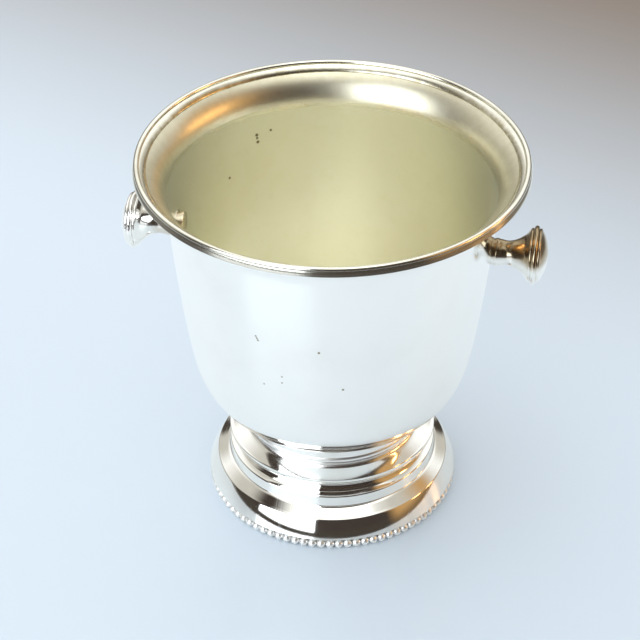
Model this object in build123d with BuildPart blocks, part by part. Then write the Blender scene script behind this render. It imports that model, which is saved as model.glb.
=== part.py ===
from build123d import *
import os
from math import cos, radians, sin

# Ice bucket on a stepped pedestal foot, millimetres, +Z up.
# Origin: centre of the circle the foot stands on. The two knobs lie along X.

# ---- overall ----
RIM_RADIUS = 80.0
HEIGHT = 164.5
SHEET = 0.9                    # spun sheet of bowl and foot

# ---- rim moulding: leaning outer face, round crown, sloping band inside ----
RIM_EDGE_Z = 161.2             # lower outer edge, at the rim radius
RIM_FACE_RADIUS = 79.75
RIM_FACE_Z = 162.25
CROWN_START_RADIUS = 79.35
CROWN_START_Z = 163.3
CROWN_RADIUS = 78.35
VALLEY_RADIUS = 77.1           # where crown and band meet
VALLEY_Z = 163.1
BAND_MID_RADIUS = 75.65
BAND_MID_Z = 162.25
BAND_RADIUS = 74.5             # inner edge of the moulding
BAND_Z = 161.0
RIM_BOTTOM_Z = 160.7
RIM_BOTTOM_RADIUS = 79.0
RIM_ROOT_RADIUS = 76.0

# ---- bowl, outside surface ----
FLOOR_Z = 43.0                 # flat underside of the bowl
THROAT_RADIUS = 67.6
THROAT_Z = 147.5
THROAT_SLOPE = 86.5
FLARE_RADIUS = 16.6            # inside surface of the turned-out mouth
LIP_SLOPE = 20.7               # slope of the sheet at its edge, inside the moulding
# radius, height and slope in degrees of the outside at six levels
BOWL_STATIONS = (
    (28.0, FLOOR_Z, 0),
    (49.2, 50.0, 46),
    (54.9, 57.6, 60),
    (59.8, 72.5, 80),
    (64.8, 111.9, 84.3),
    (THROAT_RADIUS, THROAT_Z, THROAT_SLOPE),
)
FLARE_CENTRE = (
    THROAT_RADIUS + (FLARE_RADIUS - SHEET) * sin(radians(THROAT_SLOPE)),
    THROAT_Z - (FLARE_RADIUS - SHEET) * cos(radians(THROAT_SLOPE)),
)

# ---- foot, outside surface ----
TOP_DISC_RADIUS = 31.0         # hidden disc that carries the bowl
NECK_RADIUS = 37.6
NECK_Z = 34.8                  # bottom of the neck collar
COLLAR_RADIUS = 39.3
COLLAR_NECK_RADIUS = 38.7
COLLAR_TOP_RADIUS = 38.4
COLLAR_TOP_Z = 48.0            # before it is trimmed to the underside of the bowl
COLLAR_BEAD = 3.0              # height of the round part of the collar
COVE_RADIUS_MID = 38.2
COVE_Z_MID = 32.6
TREAD_0_RADIUS = 39.0          # inner end of the upper sloping tread
TREAD_0_Z = 31.9
STEP_1_RADIUS = 45.2           # upper step
STEP_1_Z = 28.45
RISER_RADIUS = 43.3            # foot of its undercut riser
RISER_Z = 22.85
TREAD_1_RADIUS = 45.0          # narrow tread between riser and second step
TREAD_1_Z = 21.85
STEP_2_RADIUS = 45.5
STEP_2_Z = 21.4
TREAD_RADIUS = 45.7            # foot of the second step, where the lower tread starts
TREAD_Z = 16.8
OVOLO_TOP_RADIUS = 50.9        # wide band
OVOLO_TOP_Z = 13.4
OVOLO_MID_RADIUS = 53.1
OVOLO_MID_Z = 9.4
OVOLO_END_RADIUS = 54.9
OVOLO_END_Z = 5.2
HEM_RADIUS = 51.8              # where the foot stands
HEM_TOP_Z = 3.4
HEM_Z = 0.0
LIP_ROUND = 0.5                # rounding on the step lips
STUD_HOLE_RADIUS = 10.0        # opening in the hidden top disc of the foot

# ---- beaded border round the foot ----
BORDER_COUNT = 88
BORDER_RADIUS = 53.1
BORDER_LOBE = 1.97
BORDER_CENTRE_Z = 1.9          # the lobes are ground flat where they stand

# ---- knobs; distances run outward from the wall ----
KNOB_Z = 125.0
KNOB_SEAT = 65.9               # wall radius at the knob
KNOB_BASE = 5.75
KNOB_GROOVE = 0.3
KNOB_COLLAR_START = 1.0
KNOB_COLLAR_LENGTH = 2.0
KNOB_WAIST = 5.05
KNOB_WAIST_AT = 6.4
KNOB_FLARE = 7.9
KNOB_FLARE_AT = 12.9
KNOB_FLARE_END = (0.6, 1)      # direction in which the flare meets the head
KNOB_STEP = 10.8
KNOB_STEP_AT = 15.2
KNOB_RING = 1.2                # length of the small rings on the head
KNOB_RIB_AT = 17.5
KNOB_HEAD = 12.2
KNOB_LENGTH = 22.8
DOME_EDGE = KNOB_STEP - KNOB_GROOVE
DOME_RISE = KNOB_LENGTH - 2 * KNOB_RIB_AT + KNOB_STEP_AT
DOME_RADIUS = (DOME_EDGE**2 + DOME_RISE**2) / (2 * DOME_RISE)
KNOB_BORE_DEPTH = 11.0

# ---- bolts through the wall ----
BOLT_RADIUS = 2.5
BOLT_CLEARANCE = 0.05
BOLT_REACH = 10.0              # shank length beyond the wall
WALL_HOLE_RADIUS = 2.7
BOLT_HEAD_RADIUS = 4.8
BOLT_HEAD_EDGE = 1.3
BOLT_HEAD_CROWN = 0.6
BOLT_CROWN_RADIUS = (BOLT_HEAD_RADIUS**2 + BOLT_HEAD_CROWN**2) / (2 * BOLT_HEAD_CROWN)
WASHER_RADIUS = 4.2
WASHER_HEIGHT = 1.4            # at its middle, where the wall is nearest
HEAD_SEAT = KNOB_SEAT - SHEET - WASHER_HEIGHT
QUARTER_TURN = 90
HALF_TURN = 180

os.makedirs("parts", exist_ok=True)


def lip_edge(inset):
    """End of the turned-out lip, set in from the outside surface by the inset."""
    reach = FLARE_RADIUS - SHEET + inset
    return (
        FLARE_CENTRE[0] - reach * sin(radians(LIP_SLOPE)),
        FLARE_CENTRE[1] + reach * cos(radians(LIP_SLOPE)),
    )


def bowl_line(inset):
    """Line of the bowl from its centre to the edge of the lip, set in by the inset."""
    stations = []
    slopes = []
    for radius, height, slope in BOWL_STATIONS:
        along, up = cos(radians(slope)), sin(radians(slope))
        stations.append((radius - inset * up, height + inset * along))
        slopes.append((along, up))
    with BuildLine() as line:
        Line((0, FLOOR_Z + inset), stations[0])
        wall = Spline(*stations, tangents=slopes)
        TangentArc(wall @ 1, lip_edge(inset), tangent=wall % 1)
    return line.line


def foot_outside():
    """Outside line of the foot from the hole in its top disc down to the hem."""
    with BuildLine() as line:
        top = Line((STUD_HOLE_RADIUS, FLOOR_Z), (TOP_DISC_RADIUS, FLOOR_Z))
        TangentArc(top @ 1, (NECK_RADIUS, NECK_Z), tangent=top % 1)
        cove = ThreePointArc(
            (NECK_RADIUS, NECK_Z),
            (COVE_RADIUS_MID, COVE_Z_MID),
            (TREAD_0_RADIUS, TREAD_0_Z),
        )
        tread_0 = Line(cove @ 1, (STEP_1_RADIUS - LIP_ROUND, STEP_1_Z + LIP_ROUND / 2))
        lip = ThreePointArc(
            tread_0 @ 1,
            (STEP_1_RADIUS, STEP_1_Z),
            (STEP_1_RADIUS - LIP_ROUND / 2, STEP_1_Z - LIP_ROUND),
        )
        riser = Line(lip @ 1, (RISER_RADIUS, RISER_Z))
        tread_1 = Line(riser @ 1, (TREAD_1_RADIUS, TREAD_1_Z))
        edge = Line(tread_1 @ 1, (STEP_2_RADIUS, STEP_2_Z))
        face = Line(edge @ 1, (TREAD_RADIUS, TREAD_Z))
        tread_2 = Line(face @ 1, (OVOLO_TOP_RADIUS, OVOLO_TOP_Z))
        band = ThreePointArc(
            tread_2 @ 1,
            (OVOLO_MID_RADIUS, OVOLO_MID_Z),
            (OVOLO_END_RADIUS, OVOLO_END_Z),
        )
        Polyline(band @ 1, (HEM_RADIUS, HEM_TOP_Z), (HEM_RADIUS, HEM_Z))
    return line.line


knob_axis = Axis((0, 0, KNOB_Z), (1, 0, 0))


def from_seat(distance, height):
    """A point of a turned part whose own axis lies along X at knob level."""
    return (KNOB_SEAT + distance, KNOB_Z + height)


# ---- everything inside the outer surface of the bowl ----
with BuildPart() as bowl_solid:
    with BuildSketch(Plane.YZ):
        with BuildLine():
            add(bowl_line(0))
            Polyline(lip_edge(0), lip_edge(SHEET), (0, lip_edge(SHEET)[1]), (0, FLOOR_Z))
        make_face()
    revolve(axis=Axis.Z)

# ---- everything inside the inner surface of the bowl ----
with BuildPart() as bowl_room:
    with BuildSketch(Plane.YZ):
        with BuildLine():
            add(bowl_line(SHEET))
            Polyline(
                lip_edge(SHEET),
                (lip_edge(SHEET)[0], HEIGHT),
                (0, HEIGHT),
                (0, FLOOR_Z + SHEET),
            )
        make_face()
    revolve(axis=Axis.Z)

# ---- bowl: one spun sheet with a hole for each knob bolt ----
with BuildPart() as bucket_shell:
    add(bowl_solid.part)
    add(bowl_room.part, mode=Mode.SUBTRACT)
    with Locations(Location((0, 0, KNOB_Z), (0, QUARTER_TURN, 0))):
        Cylinder(WALL_HOLE_RADIUS, 2 * RIM_RADIUS, mode=Mode.SUBTRACT)

# ---- rim: moulding that sits on the turned-out lip and wraps its edge ----
with BuildPart() as rim_bead:
    with BuildSketch(Plane.YZ):
        with BuildLine():
            face = ThreePointArc(
                (RIM_RADIUS, RIM_EDGE_Z),
                (RIM_FACE_RADIUS, RIM_FACE_Z),
                (CROWN_START_RADIUS, CROWN_START_Z),
            )
            crown = ThreePointArc(face @ 1, (CROWN_RADIUS, HEIGHT), (VALLEY_RADIUS, VALLEY_Z))
            band = ThreePointArc(crown @ 1, (BAND_MID_RADIUS, BAND_MID_Z), (BAND_RADIUS, BAND_Z))
            Polyline(
                band @ 1,
                (BAND_RADIUS, RIM_EDGE_Z - SHEET),
                (RIM_ROOT_RADIUS, RIM_BOTTOM_Z),
                (RIM_BOTTOM_RADIUS, RIM_BOTTOM_Z),
                face @ 0,
            )
        make_face()
    revolve(axis=Axis.Z)
    add(bucket_shell.part, mode=Mode.SUBTRACT)

# ---- foot: one hollow spun sheet, open underneath ----
with BuildPart() as foot_shell:
    with BuildSketch(Plane.YZ):
        with BuildLine():
            add(foot_outside())
            offset(amount=SHEET, side=Side.RIGHT, closed=True)
        make_face()
    revolve(axis=Axis.Z)

with BuildPart() as foot_solid:
    with BuildSketch(Plane.YZ):
        with BuildLine():
            add(foot_outside())
            Polyline((HEM_RADIUS, HEM_Z), (0, HEM_Z), (0, FLOOR_Z), (STUD_HOLE_RADIUS, FLOOR_Z))
        make_face()
    revolve(axis=Axis.Z)

# ---- collar: moulded ring closing the seam between bowl and foot ----
with BuildPart() as neck_collar:
    with BuildSketch(Plane.YZ):
        with BuildLine():
            bottom = Line((NECK_RADIUS - SHEET, NECK_Z), (COLLAR_NECK_RADIUS, NECK_Z))
            bead = ThreePointArc(
                bottom @ 1,
                (COLLAR_RADIUS, NECK_Z + COLLAR_BEAD / 2),
                (COLLAR_NECK_RADIUS, NECK_Z + COLLAR_BEAD),
            )
            side = Line(bead @ 1, (COLLAR_TOP_RADIUS, COLLAR_TOP_Z))
            Polyline(side @ 1, (NECK_RADIUS - SHEET, COLLAR_TOP_Z), bottom @ 0)
        make_face()
    revolve(axis=Axis.Z)
    add(bowl_solid.part, mode=Mode.SUBTRACT)
    add(foot_solid.part, mode=Mode.SUBTRACT)

# ---- border: a ring of round lobes fixed to the hem of the foot ----
with BuildPart() as foot_border:
    with PolarLocations(BORDER_RADIUS, BORDER_COUNT):
        with Locations((0, 0, BORDER_CENTRE_Z)):
            Sphere(BORDER_LOBE)
    add(foot_solid.part, mode=Mode.SUBTRACT)
    Cylinder(
        RIM_RADIUS,
        HEIGHT,
        align=(Align.CENTER, Align.CENTER, Align.MAX),
        mode=Mode.SUBTRACT,
    )

# ---- knob: one turned piece, saddle-cut to the wall and bored for the bolt ----
with BuildPart() as knob_right:
    with BuildSketch(Plane.XZ):
        with BuildLine():
            base = Polyline(
                from_seat(-KNOB_BASE, 0),
                from_seat(-KNOB_BASE, KNOB_BASE - KNOB_GROOVE),
                from_seat(KNOB_COLLAR_START, KNOB_BASE - KNOB_GROOVE),
            )
            collar = ThreePointArc(
                base @ 1,
                from_seat(KNOB_COLLAR_START + KNOB_COLLAR_LENGTH / 2, KNOB_BASE),
                from_seat(KNOB_COLLAR_START + KNOB_COLLAR_LENGTH, KNOB_BASE - KNOB_GROOVE),
            )
            neck = Spline(
                collar @ 1,
                from_seat(KNOB_WAIST_AT, KNOB_WAIST),
                from_seat(KNOB_FLARE_AT, KNOB_FLARE),
                from_seat(KNOB_STEP_AT, KNOB_STEP),
                tangents=[(1, 0), KNOB_FLARE_END],
            )
            ring_1 = ThreePointArc(
                neck @ 1,
                from_seat(KNOB_STEP_AT + KNOB_RING / 2, KNOB_STEP + KNOB_GROOVE),
                from_seat(KNOB_STEP_AT + KNOB_RING, KNOB_STEP),
            )
            ring_2 = ThreePointArc(
                ring_1 @ 1,
                from_seat(KNOB_RIB_AT, KNOB_HEAD),
                from_seat(2 * KNOB_RIB_AT - KNOB_STEP_AT - KNOB_RING, KNOB_STEP),
            )
            ring_3 = ThreePointArc(
                ring_2 @ 1,
                ring_2 @ 1 + (KNOB_RING / 2, KNOB_GROOVE),
                ring_2 @ 1 + (KNOB_RING, -KNOB_GROOVE),
            )
            dome = RadiusArc(ring_3 @ 1, from_seat(KNOB_LENGTH, 0), DOME_RADIUS)
            Line(dome @ 1, base @ 0)
        make_face()
    revolve(axis=knob_axis)
    add(bowl_solid.part, mode=Mode.SUBTRACT)
    with Locations(Location((KNOB_SEAT, 0, KNOB_Z), (0, QUARTER_TURN, 0))):
        Cylinder(BOLT_RADIUS + BOLT_CLEARANCE, 2 * KNOB_BORE_DEPTH, mode=Mode.SUBTRACT)

# ---- saddle washer between the inside of the wall and the bolt head ----
with BuildPart() as washer_right:
    with Locations(Location((HEAD_SEAT, 0, KNOB_Z), (0, QUARTER_TURN, 0))):
        Cylinder(
            WASHER_RADIUS,
            KNOB_SEAT - HEAD_SEAT,
            align=(Align.CENTER, Align.CENTER, Align.MIN),
        )
        Cylinder(WALL_HOLE_RADIUS, 2 * KNOB_SEAT, mode=Mode.SUBTRACT)
    add(bowl_room.part, mode=Mode.INTERSECT)

# ---- bolt: low domed head inside the bowl, shank reaching into the knob ----
with BuildPart() as bolt_right:
    with BuildSketch(Plane.XZ):
        with BuildLine():
            shank = Polyline(
                (KNOB_SEAT + BOLT_REACH, KNOB_Z),
                (KNOB_SEAT + BOLT_REACH, KNOB_Z + BOLT_RADIUS),
                (HEAD_SEAT, KNOB_Z + BOLT_RADIUS),
                (HEAD_SEAT, KNOB_Z + BOLT_HEAD_RADIUS),
                (HEAD_SEAT - BOLT_HEAD_EDGE, KNOB_Z + BOLT_HEAD_RADIUS),
            )
            crown = RadiusArc(
                shank @ 1,
                (HEAD_SEAT - BOLT_HEAD_EDGE - BOLT_HEAD_CROWN, KNOB_Z),
                -BOLT_CROWN_RADIUS,
            )
            Line(crown @ 1, shank @ 0)
        make_face()
    revolve(axis=knob_axis)

bucket_shell.part.label = "bucket_shell"
rim_bead.part.label = "rim_bead"
neck_collar.part.label = "neck_collar"
foot_shell.part.label = "foot_shell"
foot_border.part.label = "foot_border"
for piece in (bucket_shell, rim_bead, neck_collar, foot_shell, foot_border):
    export_step(piece.part, f"parts/{piece.part.label}.step")

# ---- the left knob set is the right one turned half a turn round the bucket ----
for name, piece in (("knob", knob_right), ("washer", washer_right), ("bolt", bolt_right)):
    right = piece.part
    right.label = f"{name}_right"
    export_step(right, f"parts/{name}_right.step")
    left = right.rotate(Axis.Z, HALF_TURN)
    left.label = f"{name}_left"
    export_step(left, f"parts/{name}_left.step")
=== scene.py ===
import math
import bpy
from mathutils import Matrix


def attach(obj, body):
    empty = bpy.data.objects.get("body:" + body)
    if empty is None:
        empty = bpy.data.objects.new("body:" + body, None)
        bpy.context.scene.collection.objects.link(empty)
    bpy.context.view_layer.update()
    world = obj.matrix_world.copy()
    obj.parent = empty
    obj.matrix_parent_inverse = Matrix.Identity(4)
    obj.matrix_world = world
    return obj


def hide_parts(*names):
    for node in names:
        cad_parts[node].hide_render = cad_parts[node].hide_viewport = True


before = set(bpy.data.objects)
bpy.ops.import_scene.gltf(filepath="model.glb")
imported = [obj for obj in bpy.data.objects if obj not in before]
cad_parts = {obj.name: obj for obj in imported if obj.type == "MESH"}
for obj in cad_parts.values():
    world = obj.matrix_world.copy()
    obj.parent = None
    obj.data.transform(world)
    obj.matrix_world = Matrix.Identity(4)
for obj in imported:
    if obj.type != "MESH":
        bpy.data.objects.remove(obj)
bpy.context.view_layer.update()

from types import SimpleNamespace

import bmesh
import bpy
from mathutils import Matrix, Vector

MM = 0.001

# ---------------------------------------------------------------- dimensions, millimetres
# points of outlines are (radius, height), and (radius, distance out from the wall) on knob and bolt
RIM_RADIUS, SHEET = 80.0, 0.9
RIM_FACE = ((RIM_RADIUS, 161.2), (79.75, 162.25), (79.35, 163.3))
RIM_CROWN = ((79.35, 163.3), (78.35, 164.5), (77.1, 163.1))
RIM_BAND = ((77.1, 163.1), (75.65, 162.25), (74.5, 161.0))
RIM_UNDERSIDE = [(74.5, 160.3), (76.0, 160.7), (79.0, 160.7)]

THROAT_RADIUS, THROAT_Z, THROAT_SLOPE = 67.6, 147.5, 86.5
FLARE_RADIUS, LIP_SLOPE, FLARE_POINTS = 16.6, 20.7, 26
FLOOR_Z, FLOOR_RING = 43.0, 14.0
BOWL_STATIONS = (
    (28.0, FLOOR_Z, 0),
    (49.2, 50.0, 46),
    (54.9, 57.6, 60),
    (59.8, 72.5, 80),
    (64.8, 111.9, 84.3),
    (THROAT_RADIUS, THROAT_Z, THROAT_SLOPE),
)

FOOT_HOLE, TOP_DISC = (10.0, FLOOR_Z), (31.0, FLOOR_Z)
NECK, COVE_MID = (37.6, 34.8), (38.2, 32.6)
UPPER_TREAD = ((39.0, 31.9), (44.7, 28.7))
STEP_LIP = (UPPER_TREAD[1], (45.2, 28.45), (44.95, 27.95))
RISER_FOOT, NARROW_TREAD = (43.3, 22.85), (43.5, 22.73)
SECOND_LIP = ((44.8, 21.97), (45.3, 21.65), (45.5, 21.2))
LOWER_TREAD = ((46.1, 16.56), (50.6, 13.56))
SECOND_FOOT = ((45.69, 17.0), (45.78, 16.78), LOWER_TREAD[0])
BAND_TOP = (LOWER_TREAD[1], (50.9, 13.34), (51.12, 13.04))
BAND = (BAND_TOP[2], (53.1, 9.36), (54.87, 5.2))
HEM_RADIUS, HEM_TOP_Z = 51.8, 3.4

COLLAR_BEAD = ((38.7, 34.8), (39.3, 36.3), (38.7, 37.8))
COLLAR_TOP = [(38.4, 44.6), (36.4, 44.1)]
BORDER_COUNT, BORDER_RADIUS, BORDER_LOBE, BORDER_Z = 88, 53.1, 1.97, 1.9

KNOB_Z, KNOB_SEAT, KNOB_SADDLE = 125.0, 65.9, -0.7
KNOB_COLLAR = ((5.45, 1.0), (5.75, 2.0), (5.45, 3.0))
KNOB_NECK = ((5.45, 3.0, 90), (5.05, 6.4, 88), (7.9, 12.9, 52), (10.8, 15.2, 36))
KNOB_INNER_RING = ((10.8, 15.2), (11.1, 15.8), (10.8, 16.4))
KNOB_RIB = ((10.8, 16.4), (12.2, 17.5), (10.8, 18.6))
KNOB_OUTER_RING = ((10.8, 18.6), (11.1, 19.2), (10.5, 19.8))
KNOB_DOME = ((10.5, 19.8), (7.56, 21.3), (0.0, 22.8))

HEAD_SEAT, HEAD_RADIUS, HEAD_EDGE = 63.6, 4.8, 1.3
HEAD_BEVEL, CROWN_BEVEL, CROWN_RISE = 0.1, 0.15, 0.6
CROWN_MID = (2.6, 0.42)
BOLT_RADIUS, BOLT_REACH = 2.5, 10.0
HOLE_RADIUS, HOLE_REACH = 2.7, 90.0


# ---------------------------------------------------------------- outlines
def join(*runs):
    """One outline from several runs of points, without doubled points."""
    points = []
    for run in runs:
        for p in run:
            if not points or math.dist(p, points[-1]) > 1e-4:
                points.append((float(p[0]), float(p[1])))
    return points


def arc3(a, b, c, n=12):
    """Arc through three points."""
    ax, ay, bx, by, cx, cy = *a, *b, *c
    d = 2 * (ax * (by - cy) + bx * (cy - ay) + cx * (ay - by))
    sa, sb, sc = ax * ax + ay * ay, bx * bx + by * by, cx * cx + cy * cy
    ux = (sa * (by - cy) + sb * (cy - ay) + sc * (ay - by)) / d
    uy = (sa * (cx - bx) + sb * (ax - cx) + sc * (bx - ax)) / d
    r = math.dist((ux, uy), a)
    start, mid, end = (math.atan2(p[1] - uy, p[0] - ux) for p in (a, b, c))
    turn = (end - start) % math.tau
    if (mid - start) % math.tau > turn:
        turn -= math.tau
    return [
        (ux + r * math.cos(start + turn * i / n), uy + r * math.sin(start + turn * i / n))
        for i in range(n + 1)
    ]


def tangent_arc(a, way, c, n=12):
    """Arc from a, leaving along way, to c."""
    length = math.hypot(*way)
    nx, ny = -way[1] / length, way[0] / length
    dx, dy = c[0] - a[0], c[1] - a[1]
    k = (dx * dx + dy * dy) / (2 * (dx * nx + dy * ny))
    ux, uy = a[0] + k * nx, a[1] + k * ny
    start, end = math.atan2(a[1] - uy, a[0] - ux), math.atan2(c[1] - uy, c[0] - ux)
    turn = (end - start) % math.tau
    if k < 0:
        turn -= math.tau
    return [
        (ux + abs(k) * math.cos(start + turn * i / n), uy + abs(k) * math.sin(start + turn * i / n))
        for i in range(n + 1)
    ]


def straight(a, b, n=5):
    """Evenly spaced points from a to b."""
    return [(a[0] + (b[0] - a[0]) * i / n, a[1] + (b[1] - a[1]) * i / n) for i in range(n + 1)]


def hermite(stations, n=14):
    """Smooth line through (radius, height, slope in degrees) stations."""
    points = []
    for (x0, y0, s0), (x1, y1, s1) in zip(stations, stations[1:]):
        chord = math.dist((x0, y0), (x1, y1))
        s0, s1 = math.radians(s0), math.radians(s1)
        for i in range(n + 1):
            t = i / n
            h0, h1 = 2 * t**3 - 3 * t**2 + 1, 3 * t**2 - 2 * t**3
            m0, m1 = (t**3 - 2 * t**2 + t) * chord, (t**3 - t**2) * chord
            points.append(
                (
                    h0 * x0 + h1 * x1 + m0 * math.cos(s0) + m1 * math.cos(s1),
                    h0 * y0 + h1 * y1 + m0 * math.sin(s0) + m1 * math.sin(s1),
                )
            )
    return points


def offset(line, amount):
    """A line moved to its left by the amount, without the loops of tight corners."""
    moved = []
    for i, p in enumerate(line):
        a, b = line[max(0, i - 1)], line[min(len(line) - 1, i + 1)]
        length = math.dist(a, b)
        nx, ny = -(b[1] - a[1]) / length, (b[0] - a[0]) / length
        q = (p[0] + amount * nx, p[1] + amount * ny)
        if min(math.dist(q, r) for r in line) > abs(amount) * 0.96:
            moved.append(q)
    return moved


# ---------------------------------------------------------------- meshes
def mesh_object(name, points, faces, sharp=38):
    """Smooth-shaded mesh from points in millimetres, with edges above the sharp angle kept."""
    data = bpy.data.meshes.new(name)
    data.from_pydata([Vector(p) * MM for p in points], [], faces)
    data.validate()
    data.shade_smooth()
    data.set_sharp_from_angle(angle=math.radians(sharp))
    obj = bpy.data.objects.new(name, data)
    bpy.context.scene.collection.objects.link(obj)
    return obj


def lathe(name, outline, segments, along_x=False, sharp=38):
    """A closed (radius, height) outline turned about Z, or about X at knob height."""
    points, faces, rings = [], [], []
    for r, h in outline:
        ring = []
        for s in range(segments if r > 1e-6 else 1):
            a = math.tau * s / segments
            if along_x:
                points.append((h, r * math.cos(a), KNOB_Z + r * math.sin(a)))
            else:
                points.append((r * math.sin(a), -r * math.cos(a), h))
            ring.append(len(points) - 1)
        rings.append(ring)
    closed = outline[0][0] > 1e-6 or outline[-1][0] > 1e-6
    pairs = list(zip(rings, rings[1:] + (rings[:1] if closed else [])))
    for low, high in pairs:
        for s in range(segments):
            t = (s + 1) % segments
            face = [low[s % len(low)], low[t % len(low)], high[t % len(high)], high[s % len(high)]]
            face = [v for i, v in enumerate(face) if v != face[i - 1]]
            if len(face) > 2:
                faces.append(face)
    obj = mesh_object(name, points, faces, sharp)
    fix_normals(obj)
    return obj


def fix_normals(obj):
    """Turn all faces outward."""
    bm = bmesh.new()
    bm.from_mesh(obj.data)
    bmesh.ops.recalc_face_normals(bm, faces=bm.faces)
    bm.to_mesh(obj.data)
    bm.free()


# ---------------------------------------------------------------- bowl, rim, foot
def flare(inset):
    """Turned-out mouth, from the throat to the edge of the lip."""
    start, end = math.radians(THROAT_SLOPE), math.radians(LIP_SLOPE)
    reach = FLARE_RADIUS - SHEET
    cx, cz = THROAT_RADIUS + reach * math.sin(start), THROAT_Z - reach * math.cos(start)
    reach += inset
    angles = [start + (end - start) * i / FLARE_POINTS for i in range(FLARE_POINTS + 1)]
    return [(cx - reach * math.sin(a), cz + reach * math.cos(a)) for a in angles]


def bowl_outside():
    return join([(0, FLOOR_Z), (FLOOR_RING, FLOOR_Z)], hermite(BOWL_STATIONS)[:-1], flare(0))


def bowl_inside():
    base_z = FLOOR_Z + SHEET
    wall = offset(hermite(BOWL_STATIONS), SHEET)[:-1]
    return join([(0, base_z), (FLOOR_RING, base_z)], wall, flare(SHEET))


def foot_outside():
    return join(
        [FOOT_HOLE, TOP_DISC],
        tangent_arc(TOP_DISC, (1, 0), NECK, 14),
        arc3(NECK, COVE_MID, UPPER_TREAD[0], 10),
        straight(*UPPER_TREAD),
        arc3(*STEP_LIP, 8),
        [RISER_FOOT, NARROW_TREAD, SECOND_LIP[0]],
        arc3(*SECOND_LIP, 6),
        [SECOND_FOOT[0]],
        arc3(*SECOND_FOOT, 5),
        straight(*LOWER_TREAD),
        arc3(*BAND_TOP, 5),
        arc3(*BAND, 16),
        [(HEM_RADIUS, HEM_TOP_Z), (HEM_RADIUS, 0.0)],
    )


bowl = lathe("bowl_body", bowl_outside() + bowl_inside()[::-1], 256, sharp=60)
rim_outline = join(arc3(*RIM_FACE, 10), arc3(*RIM_CROWN, 24), arc3(*RIM_BAND, 14), RIM_UNDERSIDE)
rim = lathe("rim_moulding", rim_outline, 256)
foot = lathe("foot_body", foot_outside() + offset(foot_outside(), -SHEET)[::-1], 256, sharp=50)
collar_outline = join([NECK, COLLAR_BEAD[0]], arc3(*COLLAR_BEAD, 16), COLLAR_TOP)
collar = lathe("collar_ring", collar_outline, 256)


def border_lobes():
    """Ring of round lobes, each ground flat where it meets the hem and the table."""
    rows, cols = 12, 18
    points, faces = [], []
    for k in range(BORDER_COUNT):
        a = math.tau * k / BORDER_COUNT
        first = len(points)
        for i in range(rows + 1):
            tilt = math.pi * i / rows
            for j in range(cols if 0 < i < rows else 1):
                spin = math.tau * j / cols
                x = BORDER_RADIUS + BORDER_LOBE * math.sin(tilt) * math.cos(spin)
                y = BORDER_LOBE * math.sin(tilt) * math.sin(spin)
                z = max(0.0, BORDER_Z + BORDER_LOBE * math.cos(tilt))
                x = max(x, HEM_RADIUS)
                turned_x = x * math.cos(a) - y * math.sin(a)
                turned_y = x * math.sin(a) + y * math.cos(a)
                points.append((turned_x, turned_y, z))
        last = len(points) - 1
        for j in range(cols):
            t = (j + 1) % cols
            faces.append((first, first + 1 + j, first + 1 + t))
            for i in range(rows - 2):
                low, high = first + 1 + i * cols, first + 1 + (i + 1) * cols
                faces.append((low + j, high + j, high + t, low + t))
            faces.append((last - cols + j, last, last - cols + t))
    return mesh_object("border_beads", points, faces, 60)


border = border_lobes()


# ---------------------------------------------------------------- knobs and bolts
def knob_outline():
    line = join(
        [(0.0, KNOB_SADDLE), (KNOB_COLLAR[0][0], KNOB_SADDLE), KNOB_COLLAR[0]],
        arc3(*KNOB_COLLAR, 10),
        hermite(KNOB_NECK, 10),
        arc3(*KNOB_INNER_RING, 8),
        arc3(*KNOB_RIB, 14),
        arc3(*KNOB_OUTER_RING, 8),
        arc3(*KNOB_DOME, 22)[:-1],
        [KNOB_DOME[2]],
    )
    return [(radius, KNOB_SEAT + out) for radius, out in line]


def bolt_outline():
    shank_end, edge = KNOB_SEAT + BOLT_REACH, HEAD_SEAT - HEAD_EDGE
    crown_start = (HEAD_RADIUS - CROWN_BEVEL, edge)
    crown_mid = (CROWN_MID[0], edge - CROWN_MID[1])
    return join(
        [(0.0, shank_end), (BOLT_RADIUS, shank_end), (BOLT_RADIUS, HEAD_SEAT)],
        [(HEAD_RADIUS - HEAD_BEVEL, HEAD_SEAT), (HEAD_RADIUS, HEAD_SEAT - HEAD_BEVEL)],
        [(HEAD_RADIUS, edge + CROWN_BEVEL)],
        arc3(crown_start, crown_mid, (0.0, edge - CROWN_RISE), 10),
    )


def turned_round(source, name):
    """The same piece on the other side of the bucket."""
    data = source.data.copy()
    data.transform(Matrix.Rotation(math.pi, 4, "Z"))
    obj = bpy.data.objects.new(name, data)
    bpy.context.scene.collection.objects.link(obj)
    return obj


knob_right = lathe("knob_right_turned", knob_outline(), 96, along_x=True, sharp=45)
knob_left = turned_round(knob_right, "knob_left_turned")
bolt_right = lathe("bolt_right_head", bolt_outline(), 64, along_x=True, sharp=40)
bolt_left = turned_round(bolt_right, "bolt_left_head")

# holes of the bolts in the bowl wall
cutter_side = [(HOLE_RADIUS, -HOLE_REACH), (HOLE_RADIUS, HOLE_REACH)]
cutter_outline = [(0.0, -HOLE_REACH), *cutter_side, (0.0, HOLE_REACH)]
cutter = lathe("cutter", cutter_outline, 48, along_x=True)
holes = bowl.modifiers.new("holes", "BOOLEAN")
holes.operation = "DIFFERENCE"
holes.object = cutter
holes.solver = "EXACT"
bpy.context.view_layer.objects.active = bowl
bpy.ops.object.modifier_apply(modifier="holes")
bpy.data.objects.remove(cutter)


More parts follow.
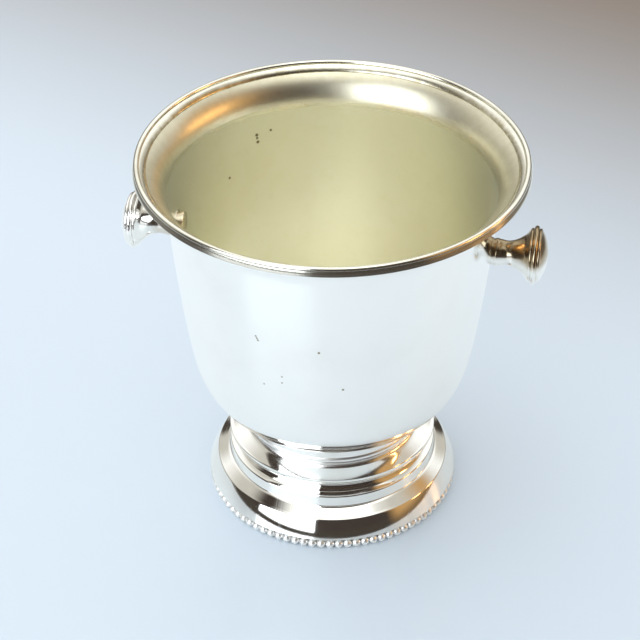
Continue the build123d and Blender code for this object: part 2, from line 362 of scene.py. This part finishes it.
# ---------------------------------------------------------------- node helper
class Nodes:
    """Short way to add and link the nodes of one tree."""

    def __init__(self, tree):
        self.tree = tree
        tree.nodes.clear()

    def add(self, kind, inputs=None, **settings):
        node = self.tree.nodes.new(kind)
        for key, value in settings.items():
            setattr(node, key, value)
        for key, value in (inputs or {}).items():
            if isinstance(value, bpy.types.NodeSocket):
                self.tree.links.new(value, node.inputs[key])
            else:
                node.inputs[key].default_value = value
        return node

    def math(self, operation, a, b=0.0, clamp=False):
        node = self.add("ShaderNodeMath", {0: a, 1: b}, operation=operation, use_clamp=clamp)
        return node.outputs[0]

    def ramp(self, value, low, high, out_low=0.0, out_high=1.0):
        """Smooth step of value from low to high."""
        node = self.add(
            "ShaderNodeMapRange",
            {"Value": value, "From Min": low, "From Max": high, "To Min": out_low, "To Max": out_high},
            interpolation_type="SMOOTHSTEP",
        )
        return node.outputs[0]

    def window(self, value, low, high, soft):
        """1 between low and high, 0 outside, with soft ends."""
        rise = self.ramp(value, low - soft, low + soft)
        fall = self.ramp(value, high - soft, high + soft, 1.0, 0.0)
        return self.math("MULTIPLY", rise, fall)

    def mix(self, factor, a, b):
        """Colour from a to b as the factor goes from 0 to 1."""
        node = self.add("ShaderNodeMix", data_type="RGBA")
        for socket, value in ((node.inputs[0], factor), (node.inputs[6], a), (node.inputs[7], b)):
            if isinstance(value, bpy.types.NodeSocket):
                self.tree.links.new(value, socket)
            else:
                socket.default_value = value
        return node.outputs[2]

    def noise(self, vector, scale, detail, rough):
        values = {"Vector": vector, "Scale": scale, "Detail": detail, "Roughness": rough}
        return self.add("ShaderNodeTexNoise", values).outputs[0]

    def length(self, a, b):
        """Length of the vector with sides a and b."""
        squares = self.math("ADD", self.math("MULTIPLY", a, a), self.math("MULTIPLY", b, b))
        return self.math("POWER", squares, 0.5)


def rgb(r, g, b):
    return (r, g, b, 1.0)


# ---------------------------------------------------------------- silver
CLOUD_SCALE, MOTTLE_SCALE = 38.0, 260.0
STREAKS = ((0.35, 0.02, 900.0), (-0.7, 0.03, 700.0), (1.4, 0.015, 1100.0))  # angle, stretch, scale
PIT_COLOR = rgb(0.20, 0.17, 0.10)
PIT_CORE = 0.4                      # share of a pit's radius that is fully dark
CLOUD_ROUGH, MOTTLE_ROUGH, STREAK_ROUGH, STAIN_ROUGH = 0.10, 0.08, 0.10, 0.12
STREAK_DEPTH = -0.35
BUMP_STRENGTH, BUMP_DISTANCE = 0.12, 0.0002
SATIN_FROM, SATIN_TO = 31.5 * MM, 33.5 * MM

# nicks and pits: x, y, z and radius in millimetres
OUTER_NICKS = (
    (-19.9, -62.1, 117.9, 0.6),
    (-19.5, -62.2, 116.9, 0.6),
    (-19.1, -62.3, 115.9, 0.6),
    (5.4, -64.8, 114.6, 0.7),
    (14.4, -61.4, 94.7, 0.7),
    (-9.8, -62.8, 99.2, 0.5),
    (-9.9, -62.4, 95.8, 0.5),
    (-17.6, -60.3, 92.7, 0.5),
)
INNER_PITS = (
    (-41.5, 51.4, 139.1, 1.0),
    (-41.4, 51.4, 137.6, 0.8),
    (-41.1, 51.4, 135.7, 1.0),
    (-36.1, 55.4, 139.8, 0.8),
    (-51.5, 39.5, 123.6, 0.8),
)


def silver(name, clean, stain_and_shade, stained, rough, wear, waves, tarnish_and_shade=None, pits=(), satin=0.0):
    """Silver plate: clean and stained metal, uneven polish, fine rubbing marks.
    An optional function adds darkening from the nodes and the place on the metal: tarnished patches,
    painted shade and painted dark reflection.
    satin is extra roughness above the steps of the foot."""
    mat = bpy.data.materials.new(name)
    mat.use_nodes = True
    n = Nodes(mat.node_tree)
    where = n.add("ShaderNodeTexCoord").outputs["Object"]
    x, y, z = n.add("ShaderNodeSeparateXYZ", {0: where}).outputs
    cloud = n.noise(where, CLOUD_SCALE, 5.0, 0.6)
    mottle = n.noise(where, MOTTLE_SCALE, 4.0, 0.6)
    amount = n.math("MULTIPLY", n.ramp(cloud, 0.42, 0.75), stained)
    if tarnish_and_shade:
        at = SimpleNamespace(x=x, z=z, radius=n.length(x, y), cloud=cloud, mottle=mottle)
        amount = n.math("ADD", amount, tarnish_and_shade(n, at), clamp=True)
    # the darker colour stands for tarnished metal and, where the place decides it, for painted shade
    color = n.mix(amount, clean, stain_and_shade)
    for px, py, pz, size in pits:
        centre = (px * MM, py * MM, pz * MM)
        away = n.add("ShaderNodeVectorMath", {0: where, 1: centre}, operation="DISTANCE")
        dark = n.ramp(away.outputs["Value"], size * MM, size * MM * PIT_CORE)
        color = n.mix(dark, color, PIT_COLOR)
    # rubbing marks: sets of thin, long streaks
    streaks = None
    for angle, stretch, scale in STREAKS:
        rotation = (angle, angle * 0.6, angle * 1.7)
        values = {"Vector": where, "Rotation": rotation, "Scale": (1.0, stretch, stretch)}
        turned = n.add("ShaderNodeMapping", values).outputs[0]
        one = n.ramp(n.noise(turned, scale, 2.0, 0.5), 0.66, 0.72)
        streaks = one if streaks is None else n.math("MAXIMUM", streaks, one)
    uneven = n.math("MULTIPLY", n.math("SUBTRACT", cloud, 0.5), CLOUD_ROUGH * wear)
    fine = n.math("MULTIPLY", n.math("SUBTRACT", mottle, 0.5), MOTTLE_ROUGH * wear)
    dull = n.math("ADD", n.math("ADD", uneven, fine), rough)
    dull = n.math("ADD", dull, n.math("MULTIPLY", amount, STAIN_ROUGH))
    if satin:
        dull = n.math("ADD", dull, n.ramp(z, SATIN_FROM, SATIN_TO, 0.0, satin))
    dull = n.math("ADD", dull, n.math("MULTIPLY", streaks, STREAK_ROUGH * wear), clamp=True)
    scratches = n.math("MULTIPLY", streaks, STREAK_DEPTH * wear)
    height = n.math("ADD", scratches, n.math("MULTIPLY", cloud, waves))
    values = {"Height": height, "Strength": BUMP_STRENGTH, "Distance": BUMP_DISTANCE}
    bump = n.add("ShaderNodeBump", values).outputs[0]
    values = {"Base Color": color, "Metallic": 1.0, "Roughness": dull, "Normal": bump}
    shader = n.add("ShaderNodeBsdfPrincipled", values)
    n.add("ShaderNodeOutputMaterial", {"Surface": shader.outputs[0]})
    return mat


def inner_depth_shade_and_mottle(n, at):
    """Painted shade: darker, yellower metal lower in the bowl, with a fine mottle of tarnished
    patches.
    """
    low = n.ramp(at.z, 160 * MM, 50 * MM, 0.0, 0.5)
    return n.math("ADD", low, n.math("MULTIPLY", n.ramp(at.mottle, 0.5, 0.8), 0.25))


def mouth_painted_reflection(n, at):
    """Painted dark reflection, mottled, that sets in where the mouth starts to turn out."""
    rise = n.ramp(at.z, 148 * MM, 153.5 * MM)
    return n.math("MULTIPLY", rise, n.ramp(at.mottle, 0.25, 0.75, 0.75, 1.0))


def crease_painted_shade(n, at):
    """Painted shade in the crease: darker metal toward the inner edge of the rim moulding."""
    near = n.ramp(at.radius, 76.8 * MM, 74.7 * MM)
    return n.math("MULTIPLY", near, n.ramp(at.mottle, 0.3, 0.7, 0.35, 1.0))


def knob_top_reflection_and_dark_neck(n, at):
    """Painted dark reflection on the upper half of the right knob, and darker brown metal in the left
    knob's neck.
    """
    top = n.math("MULTIPLY", n.ramp(at.z, 123.5 * MM, 128 * MM), n.ramp(at.x, 60 * MM, 66 * MM))
    outward = n.ramp(at.x, -77 * MM, -72 * MM, 0.0, 0.5)
    neck = n.math("MULTIPLY", outward, n.ramp(at.x, -20 * MM, -60 * MM))
    return n.math("MULTIPLY", n.math("ADD", top, neck), n.ramp(at.cloud, 0.25, 0.55, 0.65, 1.0))


outside = silver(
    "silver_polished",
    clean=rgb(0.985, 0.98, 0.96),
    stain_and_shade=rgb(0.93, 0.92, 0.88),
    stained=0.5,
    rough=0.10,
    wear=0.5,
    waves=0.4,
    pits=OUTER_NICKS,
)
# inside: yellow tarnished satin metal, with painted shade deeper in the bowl
inside = silver(
    "silver_satin_inside",
    clean=rgb(0.98, 0.978, 0.865),
    stain_and_shade=rgb(0.92, 0.895, 0.71),
    stained=0.4,
    rough=0.32,
    wear=0.4,
    waves=0.15,
    tarnish_and_shade=inner_depth_shade_and_mottle,
    pits=INNER_PITS,
)
# the mouth's darker colour is a painted dark reflection of the room
mouth = silver(
    "silver_satin_mouth",
    clean=rgb(0.97, 0.965, 0.85),
    stain_and_shade=rgb(0.70, 0.66, 0.50),
    stained=0.1,
    rough=0.24,
    wear=0.25,
    waves=0.1,
    tarnish_and_shade=mouth_painted_reflection,
)
# the rim's dark colour is partly tarnished patches, partly painted shade at the crease
rim_metal = silver(
    "silver_rim",
    clean=rgb(0.93, 0.92, 0.83),
    stain_and_shade=rgb(0.50, 0.45, 0.31),
    stained=0.3,
    rough=0.15,
    wear=0.25,
    waves=0.4,
    tarnish_and_shade=crease_painted_shade,
)
foot_metal = silver(
    "silver_foot",
    clean=rgb(0.95, 0.945, 0.92),
    stain_and_shade=rgb(0.80, 0.76, 0.66),
    stained=0.35,
    rough=0.05,
    wear=0.35,
    waves=0.3,
    satin=0.27,
)
border_metal = silver(
    "silver_border",
    clean=rgb(0.96, 0.955, 0.94),
    stain_and_shade=rgb(0.80, 0.77, 0.69),
    stained=0.3,
    rough=0.42,
    wear=0.6,
    waves=0.3,
)
# the knob's brown colour is partly tarnished patches, partly the painted dark reflection on the right
# knob's top
knob_metal = silver(
    "silver_knob",
    clean=rgb(0.95, 0.94, 0.91),
    stain_and_shade=rgb(0.40, 0.31, 0.19),
    stained=0.2,
    rough=0.08,
    wear=0.5,
    waves=0.3,
    tarnish_and_shade=knob_top_reflection_and_dark_neck,
)
bolt_metal = silver(
    "bolt_metal",
    clean=rgb(0.80, 0.74, 0.60),
    stain_and_shade=rgb(0.36, 0.27, 0.17),
    stained=0.9,
    rough=0.28,
    wear=1.0,
    waves=0.5,
)

# the bowl is polished outside and satin inside, with painted dark reflection where the mouth turns out
MOUTH_FROM = (THROAT_Z + 1.0) * MM
FACING_UP = 0.55
for mat in (outside, inside, mouth):
    bowl.data.materials.append(mat)
for face in bowl.data.polygons:
    c, normal = face.center, face.normal
    facing_axis = normal.x * c.x + normal.y * c.y < 0
    if facing_axis or normal.z > FACING_UP:
        face.material_index = 2 if c.z > MOUTH_FROM else 1
    else:
        face.material_index = 0

for obj, mat in (
    (rim, rim_metal),
    (foot, foot_metal),
    (collar, foot_metal),
    (border, border_metal),
    (knob_right, knob_metal),
    (knob_left, knob_metal),
    (bolt_right, bolt_metal),
    (bolt_left, bolt_metal),
    (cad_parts["washer_left"], bolt_metal),
    (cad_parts["washer_right"], bolt_metal),
):
    obj.data.materials.clear()
    obj.data.materials.append(mat)

for obj, node, slot in (
    (bowl, "bucket_shell", "bowl_silver"),
    (rim, "rim_bead", "rim_silver"),
    (foot, "foot_shell", "foot_silver"),
    (collar, "neck_collar", "foot_silver"),
    (border, "foot_border", "border_silver"),
    (knob_right, "knob_right", "knob_silver"),
    (knob_left, "knob_left", "knob_silver"),
    (bolt_right, "bolt_right", "bolt_metal"),
    (bolt_left, "bolt_left", "bolt_metal"),
):
    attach(obj, "root")
    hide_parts(node)

# ---------------------------------------------------------------- floor
FLOOR_HALF = 3000.0
SHADE_FALLOFF_X, SHADE_FALLOFF_Y, SHADE_FALLOFF_FROM, SHADE_FALLOFF_TO = 0.43, 1.084, 0.08, 0.66
TABLE_DARK_FROM, TABLE_DARK_TO = 0.36, 0.50
corners = [(FLOOR_HALF * i, FLOOR_HALF * j, 0) for i, j in ((-1, -1), (1, -1), (1, 1), (-1, 1))]
floor = mesh_object("floor", corners, [(0, 1, 2, 3)])
floor.location.z = -0.00002
paper = bpy.data.materials.new("paper")
paper.use_nodes = True
n = Nodes(paper.node_tree)
where = n.add("ShaderNodeTexCoord").outputs["Object"]
fx, fy = n.add("ShaderNodeSeparateXYZ", {0: where}).outputs[:2]
# painted shade: the paper darkens from pale blue in front to dark brown at the back right, where the
# light falls off
along = n.math("ADD", n.math("MULTIPLY", fy, SHADE_FALLOFF_Y), n.math("MULTIPLY", fx, SHADE_FALLOFF_X))
tone = n.mix(n.ramp(along, SHADE_FALLOFF_FROM, SHADE_FALLOFF_TO), rgb(0.66, 0.76, 0.85), rgb(0.15, 0.095, 0.055))
# mirrors see the paper a little lighter, and see it end in the dark
mirrored = n.add("ShaderNodeLightPath").outputs["Is Glossy Ray"]
tone = n.mix(n.math("MULTIPLY", mirrored, 0.8), tone, rgb(0.78, 0.86, 0.90))
beyond = n.ramp(n.length(fx, fy), TABLE_DARK_FROM, TABLE_DARK_TO)
tone = n.mix(n.math("MULTIPLY", mirrored, beyond), tone, rgb(0.035, 0.025, 0.02))
values = {"Base Color": tone, "Roughness": 0.6, "Coat Weight": 0.7, "Coat Roughness": 0.25}
shader = n.add("ShaderNodeBsdfPrincipled", values)
n.add("ShaderNodeOutputMaterial", {"Surface": shader.outputs[0]})
floor.data.materials.append(paper)

# ---------------------------------------------------------------- surroundings
AZIMUTH = math.radians(9.3)
world = bpy.data.worlds.new("studio")
bpy.context.scene.world = world
world.use_nodes = True
n = Nodes(world.node_tree)
way = n.add("ShaderNodeTexCoord").outputs["Generated"]
turned = n.add("ShaderNodeMapping", {"Vector": way, "Rotation": (0.0, 0.0, -AZIMUTH)}).outputs[0]
wx, wy, wz = n.add("ShaderNodeSeparateXYZ", {0: turned}).outputs
# degrees round from the camera's side, positive to the right, and above the horizon
DEGREES = 180 / math.pi
around = n.math("MULTIPLY", n.math("ARCTAN2", wx, n.math("MULTIPLY", wy, -1.0)), DEGREES)
above = n.math("MULTIPLY", n.math("ARCSINE", wz), DEGREES)


def patch(left, right, low, high, soft_side, soft_up):
    """1 inside a rectangle of directions in degrees, with soft edges."""
    side = n.window(around, left, right, soft_side)
    return n.math("MULTIPLY", side, n.window(above, low, high, soft_up))


# what mirrors see: a dark room in front, pale walls beside and behind, a bright ceiling
room = n.mix(n.window(around, -92.0, 66.0, 8.0), rgb(0.60, 0.58, 0.52), rgb(0.055, 0.042, 0.035))
light = n.mix(n.ramp(above, 5.0, 10.0), rgb(0.06, 0.05, 0.04), room)
light = n.mix(n.ramp(above, 55.0, 66.0), light, rgb(1.4, 1.4, 1.34))
light = n.mix(n.ramp(above, 72.0, 80.0), light, rgb(2.2, 2.2, 2.1))
back_right = patch(118.0, 200.0, 22.0, 75.0, 12.0, 6.0)
back_left = patch(-200.0, -118.0, 22.0, 75.0, 12.0, 6.0)
light = n.mix(n.math("MAXIMUM", back_right, back_left), light, rgb(1.15, 1.15, 1.12))
for place, color in (
    ((-66.0, -15.0, 5.0, 50.0, 1.0, 2.0), rgb(3.6, 3.8, 4.0)),      # window
    ((54.0, 112.0, 3.0, 46.0, 7.0, 8.0), rgb(0.58, 0.34, 0.13)),    # warm corner
    ((79.0, 88.0, 19.0, 28.0, 1.2, 1.2), rgb(9.0, 5.0, 2.0)),       # lamp
    ((95.0, 103.0, 12.0, 19.0, 1.2, 1.2), rgb(9.0, 5.0, 2.0)),      # lamp
):
    light = n.mix(patch(*place), light, color)
# soft light from the left for everything that isn't a mirror
mirror = n.add("ShaderNodeLightPath").outputs["Is Glossy Ray"]
soft = n.mix(n.ramp(wx, -1.0, 1.0), rgb(1.50, 1.52, 1.56), rgb(0.74, 0.735, 0.73))
background = n.add("ShaderNodeBackground", {"Color": n.mix(mirror, soft, light), "Strength": 1.0})
n.add("ShaderNodeOutputWorld", {"Surface": background.outputs[0]})

# ---------------------------------------------------------------- camera
ELEVATION, DISTANCE = 0.5504, 9.0145 * RIM_RADIUS * MM
PAN, TILT, ROLL = -0.0068, -0.0922, -0.0004
SENSOR, FOCAL_PER_WIDTH = 36.0, 1800 / 640
target = Vector((0.0, 0.0, 0.165))


def swing(a, b, angle):
    """Two crossed unit vectors turned by the angle in their own plane."""
    return a * math.cos(angle) + b * math.sin(angle), b * math.cos(angle) - a * math.sin(angle)


level = math.cos(ELEVATION)
aim = Vector((-math.sin(AZIMUTH) * level, math.cos(AZIMUTH) * level, -math.sin(ELEVATION)))
place = target - aim * DISTANCE
right = aim.cross(Vector((0, 0, 1))).normalized()
up = right.cross(aim)
aim, right = swing(aim, right, PAN)
aim, up = swing(aim, up, TILT)
right, up = swing(right, up, ROLL)
lens = bpy.data.cameras.new("camera")
lens.sensor_width = SENSOR
lens.lens = SENSOR * FOCAL_PER_WIDTH
lens.clip_start = 0.01
camera = bpy.data.objects.new("camera", lens)
bpy.context.scene.collection.objects.link(camera)
camera.matrix_world = Matrix(
    (
        (right.x, up.x, -aim.x, place.x),
        (right.y, up.y, -aim.y, place.y),
        (right.z, up.z, -aim.z, place.z),
        (0, 0, 0, 1),
    )
)
bpy.context.scene.camera = camera
bpy.context.scene.view_settings.view_transform = "Standard"
